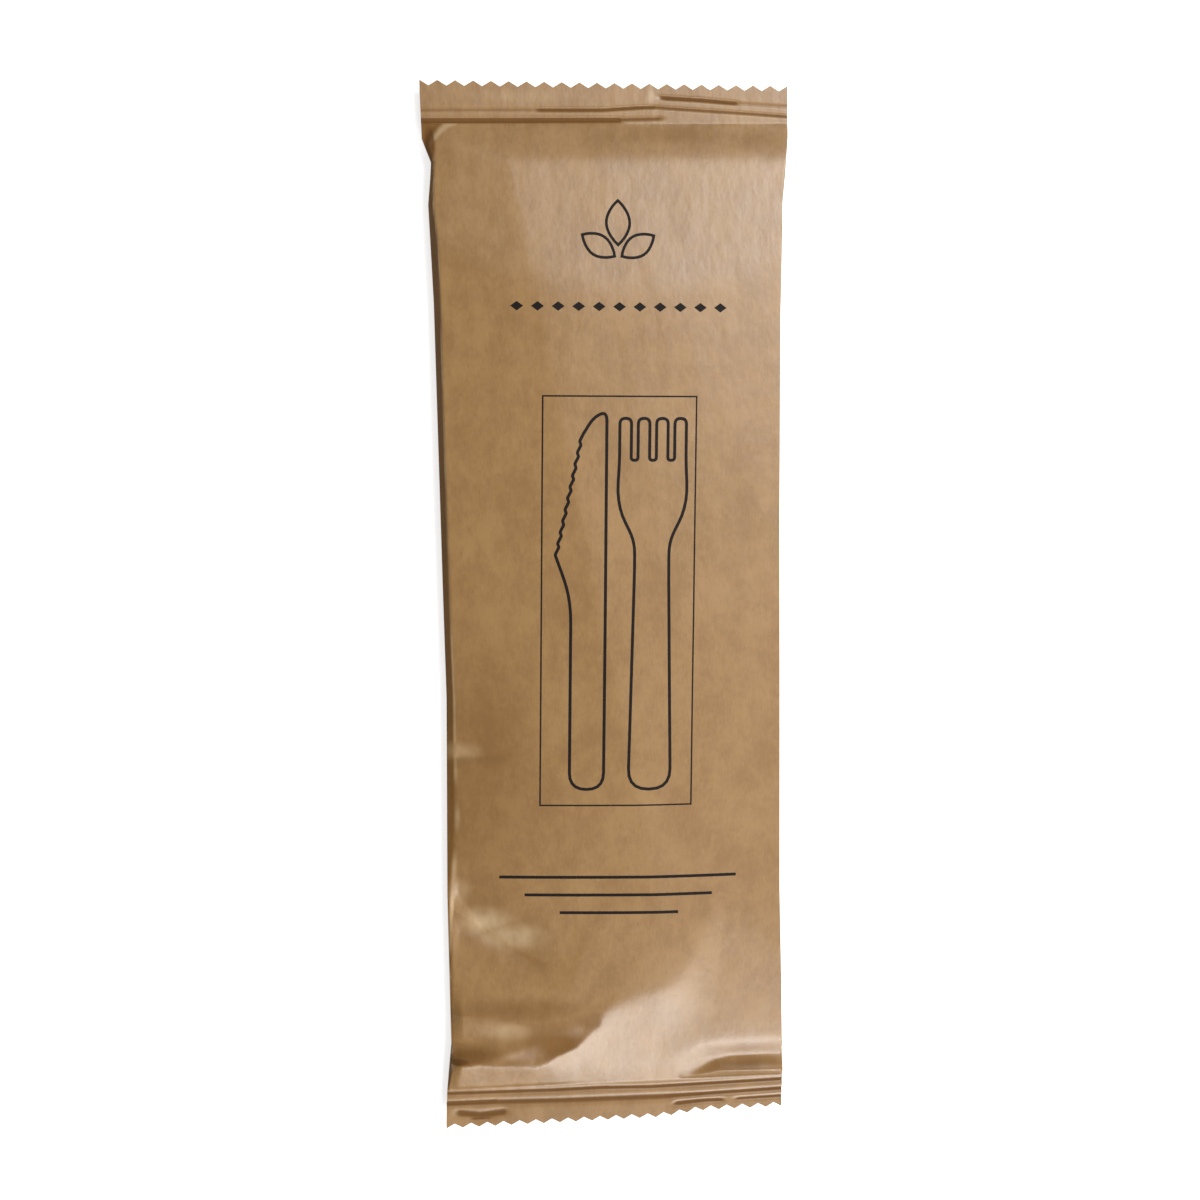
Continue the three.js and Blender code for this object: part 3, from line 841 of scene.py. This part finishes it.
def fork_outline():
    """Outline of a plain fork with four tines, in millimetres from the middle of the panel."""
    middle = 6.6
    tine, gap = 2.3, 1.35
    top, gap_bottom, head, neck, bottom = 36.6, 28.4, 19.5, 12.5, -37.6
    half_head, half_neck, half_grip = 7.1, 3.5, 4.3
    right = [(half_grip, bottom, 4.2), (3.4, 8.0, 6.0), (half_neck, neck, 2.5)]
    right.append((half_head, head, 4.5))
    outer = 2 * tine + 1.5 * gap
    right += [(outer, gap_bottom, 2.0), (outer, top, 1.1), (outer - tine, top, 1.1)]
    inner = outer - tine
    right += [(inner, gap_bottom, 0.6), (inner - gap, gap_bottom, 0.6), (inner - gap, top, 1.1)]
    right += [(gap / 2, top, 1.1), (gap / 2, gap_bottom, 0.6)]
    left = [(-x, y, radius) for x, y, radius in reversed(right)]
    return rounded([(middle + x, y, radius) for x, y, radius in right + left])


def sprig_outlines():
    """Outlines of a plain sprig of three leaves, in millimetres from its own middle."""
    points, half_width, fullness = 15, 0.27, 0.85

    def leaf(x, y, turn, size):
        share = np.linspace(0, 1, points)
        bow = half_width * np.sin(np.pi * share) ** fullness
        side = np.column_stack([bow, share])
        outline = np.concatenate([side, (side * [-1, 1])[-2:0:-1]]) * size
        turned = np.array([[math.cos(turn), math.sin(turn)], [-math.sin(turn), math.cos(turn)]])
        return outline @ turned.T + [x, y]

    return [leaf(0, -1, 0, 8.5), leaf(0.7, -3.2, 1.0, 7.5), leaf(-0.7, -3.2, -1.0, 7.5)]


class InkLayer:
    """Lays printed lines and fields on the film."""

    # Height over the film and length of a step along it in millimetres
    lift = 0.03
    step = 0.7

    # Level in metres from which a point is dropped onto the film
    ray_start = 0.05

    # Limits that keep a line from growing too wide in a sharp corner
    least_joint = 0.2
    least_share = 0.5

    def __init__(self, film, turn, shift):
        self.tree = BVHTree.FromObject(film, bpy.context.evaluated_depsgraph_get())
        self.turn = np.array([
            [math.cos(turn), -math.sin(turn)],
            [math.sin(turn), math.cos(turn)],
        ])
        self.shift = shift[:2]
        self.points = []
        self.faces = []

    def settle(self, spots, middle):
        """Turns flat points about their middle and lays them on the film; returns their numbers."""
        start = len(self.points)
        for x, y in np.asarray(spots) @ self.turn.T + middle + self.shift:
            start_point = Vector((x * MM, y * MM, self.ray_start))
            hit = self.tree.ray_cast(start_point, Vector((0, 0, -1)))[0]
            if hit is None:
                raise RuntimeError("a printed line runs off the film")
            self.points.append((x * MM, y * MM, hit.z + self.lift * MM))
        return list(range(start, len(self.points)))

    def line(self, spots, width, middle, closed=True):
        """A line of even width along the given points."""
        spots = np.asarray(spots, dtype=float)
        ends = np.concatenate([spots, spots[:1]]) if closed else spots
        run = []
        for a, b in zip(ends[:-1], ends[1:]):
            count = max(1, math.ceil(np.hypot(*(b - a)) / self.step))
            run += [a + (b - a) * k / count for k in range(count)]
        if not closed:
            run.append(ends[-1])
        run = np.array(run)
        ahead = np.roll(run, -1, axis=0) - run
        behind = run - np.roll(run, 1, axis=0)
        if not closed:
            ahead[-1], behind[0] = behind[-1], ahead[0]
        ahead /= np.hypot(*ahead.T)[:, None]
        behind /= np.hypot(*behind.T)[:, None]
        across = ahead + behind
        across = np.column_stack([-across[:, 1], across[:, 0]])
        across /= np.maximum(np.hypot(*across.T), self.least_joint)[:, None]
        normal = np.column_stack([-ahead[:, 1], ahead[:, 0]])
        share = np.maximum((across * normal).sum(axis=1), self.least_share)
        reach = width / 2 / share[:, None]
        left = self.settle(run + across * reach, middle)
        right = self.settle(run - across * reach, middle)
        last = len(run) if closed else len(run) - 1
        for k in range(last):
            m = (k + 1) % len(run)
            self.faces.append((right[k], right[m], left[m], left[k]))

    def field(self, spots, middle):
        """A filled shape."""
        self.faces.append(tuple(self.settle(spots, middle)))

    def mesh(self):
        """Mesh of all that has been laid down."""
        mesh = bpy.data.meshes.new("printed_lines")
        mesh.from_pydata(self.points, [], self.faces)
        mesh.update()
        return mesh


class PACK_OT_film(bpy.types.Operator):
    """Builds the sealed film with its crown, folds, fin, ribbed seals and cut teeth"""

    bl_idname = "cutlery_pack.film"
    bl_label = "Sealed Film"

    def execute(self, context):
        mesh, shift = film_mesh(context.scene.film_sizes)
        film = add_piece("kraft_film", mesh, paper_material(context.scene.paper_finish))
        film["shift"] = shift.tolist()
        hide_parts(NODE)
        return {"FINISHED"}


class PACK_OT_print(bpy.types.Operator):
    """Prints a framed knife and fork outline, a plain sprig, a band of lozenges and plain rules"""

    bl_idname = "cutlery_pack.print"
    bl_label = "Printed Lines"

    outline: length("Outline", "Width of the outlines", 0.0006)
    frame_line: length("Frame line", "Width of the frame's line", 0.0003)

    # Turn in degrees, and places and sizes in millimetres from the middle of the film
    turn = -1.0
    panel = (0.7, 3.3)
    panel_half = (15.2, 40.9)
    sprig = (1.4, 74.4)
    sprig_share = 1.8
    lozenge_row = (1.4, 61.5)
    lozenge_half = (1.25, 0.9)
    lozenge_pitch = 4.0
    lozenge_pairs = 5
    rule_middle = 0.5
    rule_width = 0.6
    rules = ((-52.5, 24), (-56.2, 19), (-59.9, 12))

    def execute(self, context):
        film = bpy.data.objects.get("kraft_film")
        if film is None:
            raise RuntimeError("build the film before its print")
        ink = InkLayer(film, math.radians(self.turn), np.array(film["shift"]))
        outline, thin = self.outline / MM, self.frame_line / MM
        box = np.array([(-1, -1), (1, -1), (1, 1), (-1, 1)])
        ink.line(box * self.panel_half, thin, self.panel)
        ink.line(knife_outline(), outline, self.panel)
        ink.line(fork_outline(), outline, self.panel)
        for leaf in sprig_outlines():
            ink.line(leaf, thin * self.sprig_share, self.sprig)
        lozenge = np.array([(-1, 0), (0, -1), (1, 0), (0, 1)]) * self.lozenge_half
        for n in range(-self.lozenge_pairs, self.lozenge_pairs + 1):
            ink.field(lozenge + [n * self.lozenge_pitch, 0], self.lozenge_row)
        for y, half in self.rules:
            ends = [(-half, 0), (half, 0)]
            ink.line(ends, self.rule_width, (self.rule_middle, y), closed=False)
        add_piece("printed_lines", ink.mesh(), ink_material(context.scene.paper_finish))
        return {"FINISHED"}


def softbox(name, size, power, spot):
    """A square softbox at a place, aimed at the pack."""
    lamp = bpy.data.lights.new(name, "AREA")
    lamp.shape = "SQUARE"
    lamp.size = size
    lamp.energy = power
    holder = bpy.data.objects.new(name, lamp)
    holder.location = spot
    holder.rotation_euler = (-Vector(spot)).to_track_quat("-Z", "Y").to_euler()
    bpy.context.scene.collection.objects.link(holder)


class PACK_OT_stage(bpy.types.Operator):
    """Sets up the floor, the softboxes, the light from all around and the camera"""

    bl_idname = "cutlery_pack.stage"
    bl_label = "Studio"

    # Sizes and places in metres
    key_size = 0.45
    key_spot = (0.27, -0.73, 0.54)
    top_size = 0.4
    top_spot = (0.4, 0.3, 0.68)
    floor_half = 4.0
    floor_level = -0.00005
    far_floor = (0.4, 1.5)

    def execute(self, context):
        studio = context.scene.studio_setup
        self.floor(studio)
        softbox("key_softbox", self.key_size, studio.key_power, self.key_spot)
        softbox("top_softbox", self.top_size, studio.top_power, self.top_spot)
        self.surroundings(studio)
        self.camera(studio)
        context.scene.view_settings.view_transform = "Standard"
        return {"FINISHED"}

    def floor(self, studio):
        """A plain pale floor that keeps the pack's shadow."""
        size, level = self.floor_half, self.floor_level
        mesh = bpy.data.meshes.new("floor")
        corners = [(-size, -size, level), (size, -size, level), (size, size, level)]
        mesh.from_pydata([*corners, (-size, size, level)], [], [(0, 1, 2, 3)])
        material = bpy.data.materials.new("pale_floor")
        bench = NodeBench(material)
        camera_ray = bench.add("ShaderNodeLightPath", output="Is Camera Ray")
        shader = bench.add("ShaderNodeBsdfDiffuse", None, {"Color": (*studio.floor, 1.0)})
        place = bench.add("ShaderNodeTexCoord", output="Object")
        away = bench.add("ShaderNodeVectorMath", {"operation": "LENGTH"}, {0: place}, "Value")
        lift = camera_ray * (studio.floor_lift + bench.band(away, *self.far_floor))
        glow = bench.add("ShaderNodeEmission", None, {"Strength": lift})
        both = bench.add("ShaderNodeAddShader", None, {0: shader, 1: glow})
        bench.add("ShaderNodeOutputMaterial", None, {"Surface": both})
        mesh.materials.append(material)
        floor = bpy.data.objects.new("floor", mesh)
        bpy.context.scene.collection.objects.link(floor)

    def surroundings(self, studio):
        """White to the camera and to gloss, and a soft light to all else."""
        world = bpy.data.worlds.new("studio")
        bpy.context.scene.world = world
        bench = NodeBench(world)
        seen = bench.add("ShaderNodeLightPath", output="Is Camera Ray")
        white = bench.add("ShaderNodeBackground", None, {"Color": (1, 1, 1, 1), "Strength": 1.0})
        soft = bench.add(
            "ShaderNodeBackground", None, {"Color": (1, 1, 1, 1), "Strength": studio.fill}
        )
        both = bench.add("ShaderNodeMixShader", None, {0: seen, 1: soft, 2: white})
        bench.add("ShaderNodeOutputWorld", None, {"Surface": both})

    def camera(self, studio):
        """The camera over the pack, a little towards its top end and its left side."""
        turned = (
            Matrix.Rotation(studio.roll, 3, "Z")
            @ Matrix.Rotation(studio.turn, 3, "Y")
            @ Matrix.Rotation(studio.tilt, 3, "X")
        ).transposed()
        film = bpy.data.objects["kraft_film"]
        shift = Vector(film["shift"]) * MM
        spot = turned @ Vector((-studio.slide_x, -studio.slide_y, studio.distance))
        data = bpy.data.cameras.new("camera")
        data.lens = studio.lens
        data.sensor_width = 36
        data.clip_start = 0.01
        camera = bpy.data.objects.new("camera", data)
        camera.matrix_world = Matrix.Translation(spot + shift) @ turned.to_4x4()
        bpy.context.scene.collection.objects.link(camera)
        bpy.context.scene.camera = camera


class PACK_PT_panel(bpy.types.Panel):
    """Lists the settings and the steps of the pack"""

    bl_idname = "PACK_PT_panel"
    bl_label = "Cutlery Pack"
    bl_space_type = "VIEW_3D"
    bl_region_type = "UI"
    bl_category = "Cutlery Pack"

    def draw(self, context):
        layout = self.layout
        scene = context.scene
        for group in (scene.film_sizes, scene.paper_finish, scene.studio_setup):
            box = layout.box()
            for name in group.__annotations__:
                box.prop(group, name)
        for step in (PACK_OT_film, PACK_OT_print, PACK_OT_stage):
            layout.operator(step.bl_idname)


CLASSES = (
    FilmSizes, PaperFinish, StudioSetup, PACK_OT_film, PACK_OT_print, PACK_OT_stage, PACK_PT_panel,
)


def register():
    """Registers the classes and the settings."""
    for item in CLASSES:
        bpy.utils.register_class(item)
    bpy.types.Scene.film_sizes = PointerProperty(type=FilmSizes)
    bpy.types.Scene.paper_finish = PointerProperty(type=PaperFinish)
    bpy.types.Scene.studio_setup = PointerProperty(type=StudioSetup)


def unregister():
    """Removes the settings and the classes."""
    del bpy.types.Scene.studio_setup
    del bpy.types.Scene.paper_finish
    del bpy.types.Scene.film_sizes
    for item in reversed(CLASSES):
        bpy.utils.unregister_class(item)


def main():
    """Builds the pack and its studio."""
    register()
    bpy.ops.cutlery_pack.film()
    bpy.ops.cutlery_pack.print()
    bpy.ops.cutlery_pack.stage()
    bpy.context.view_layer.update()


if __name__ == "__main__":
    main()
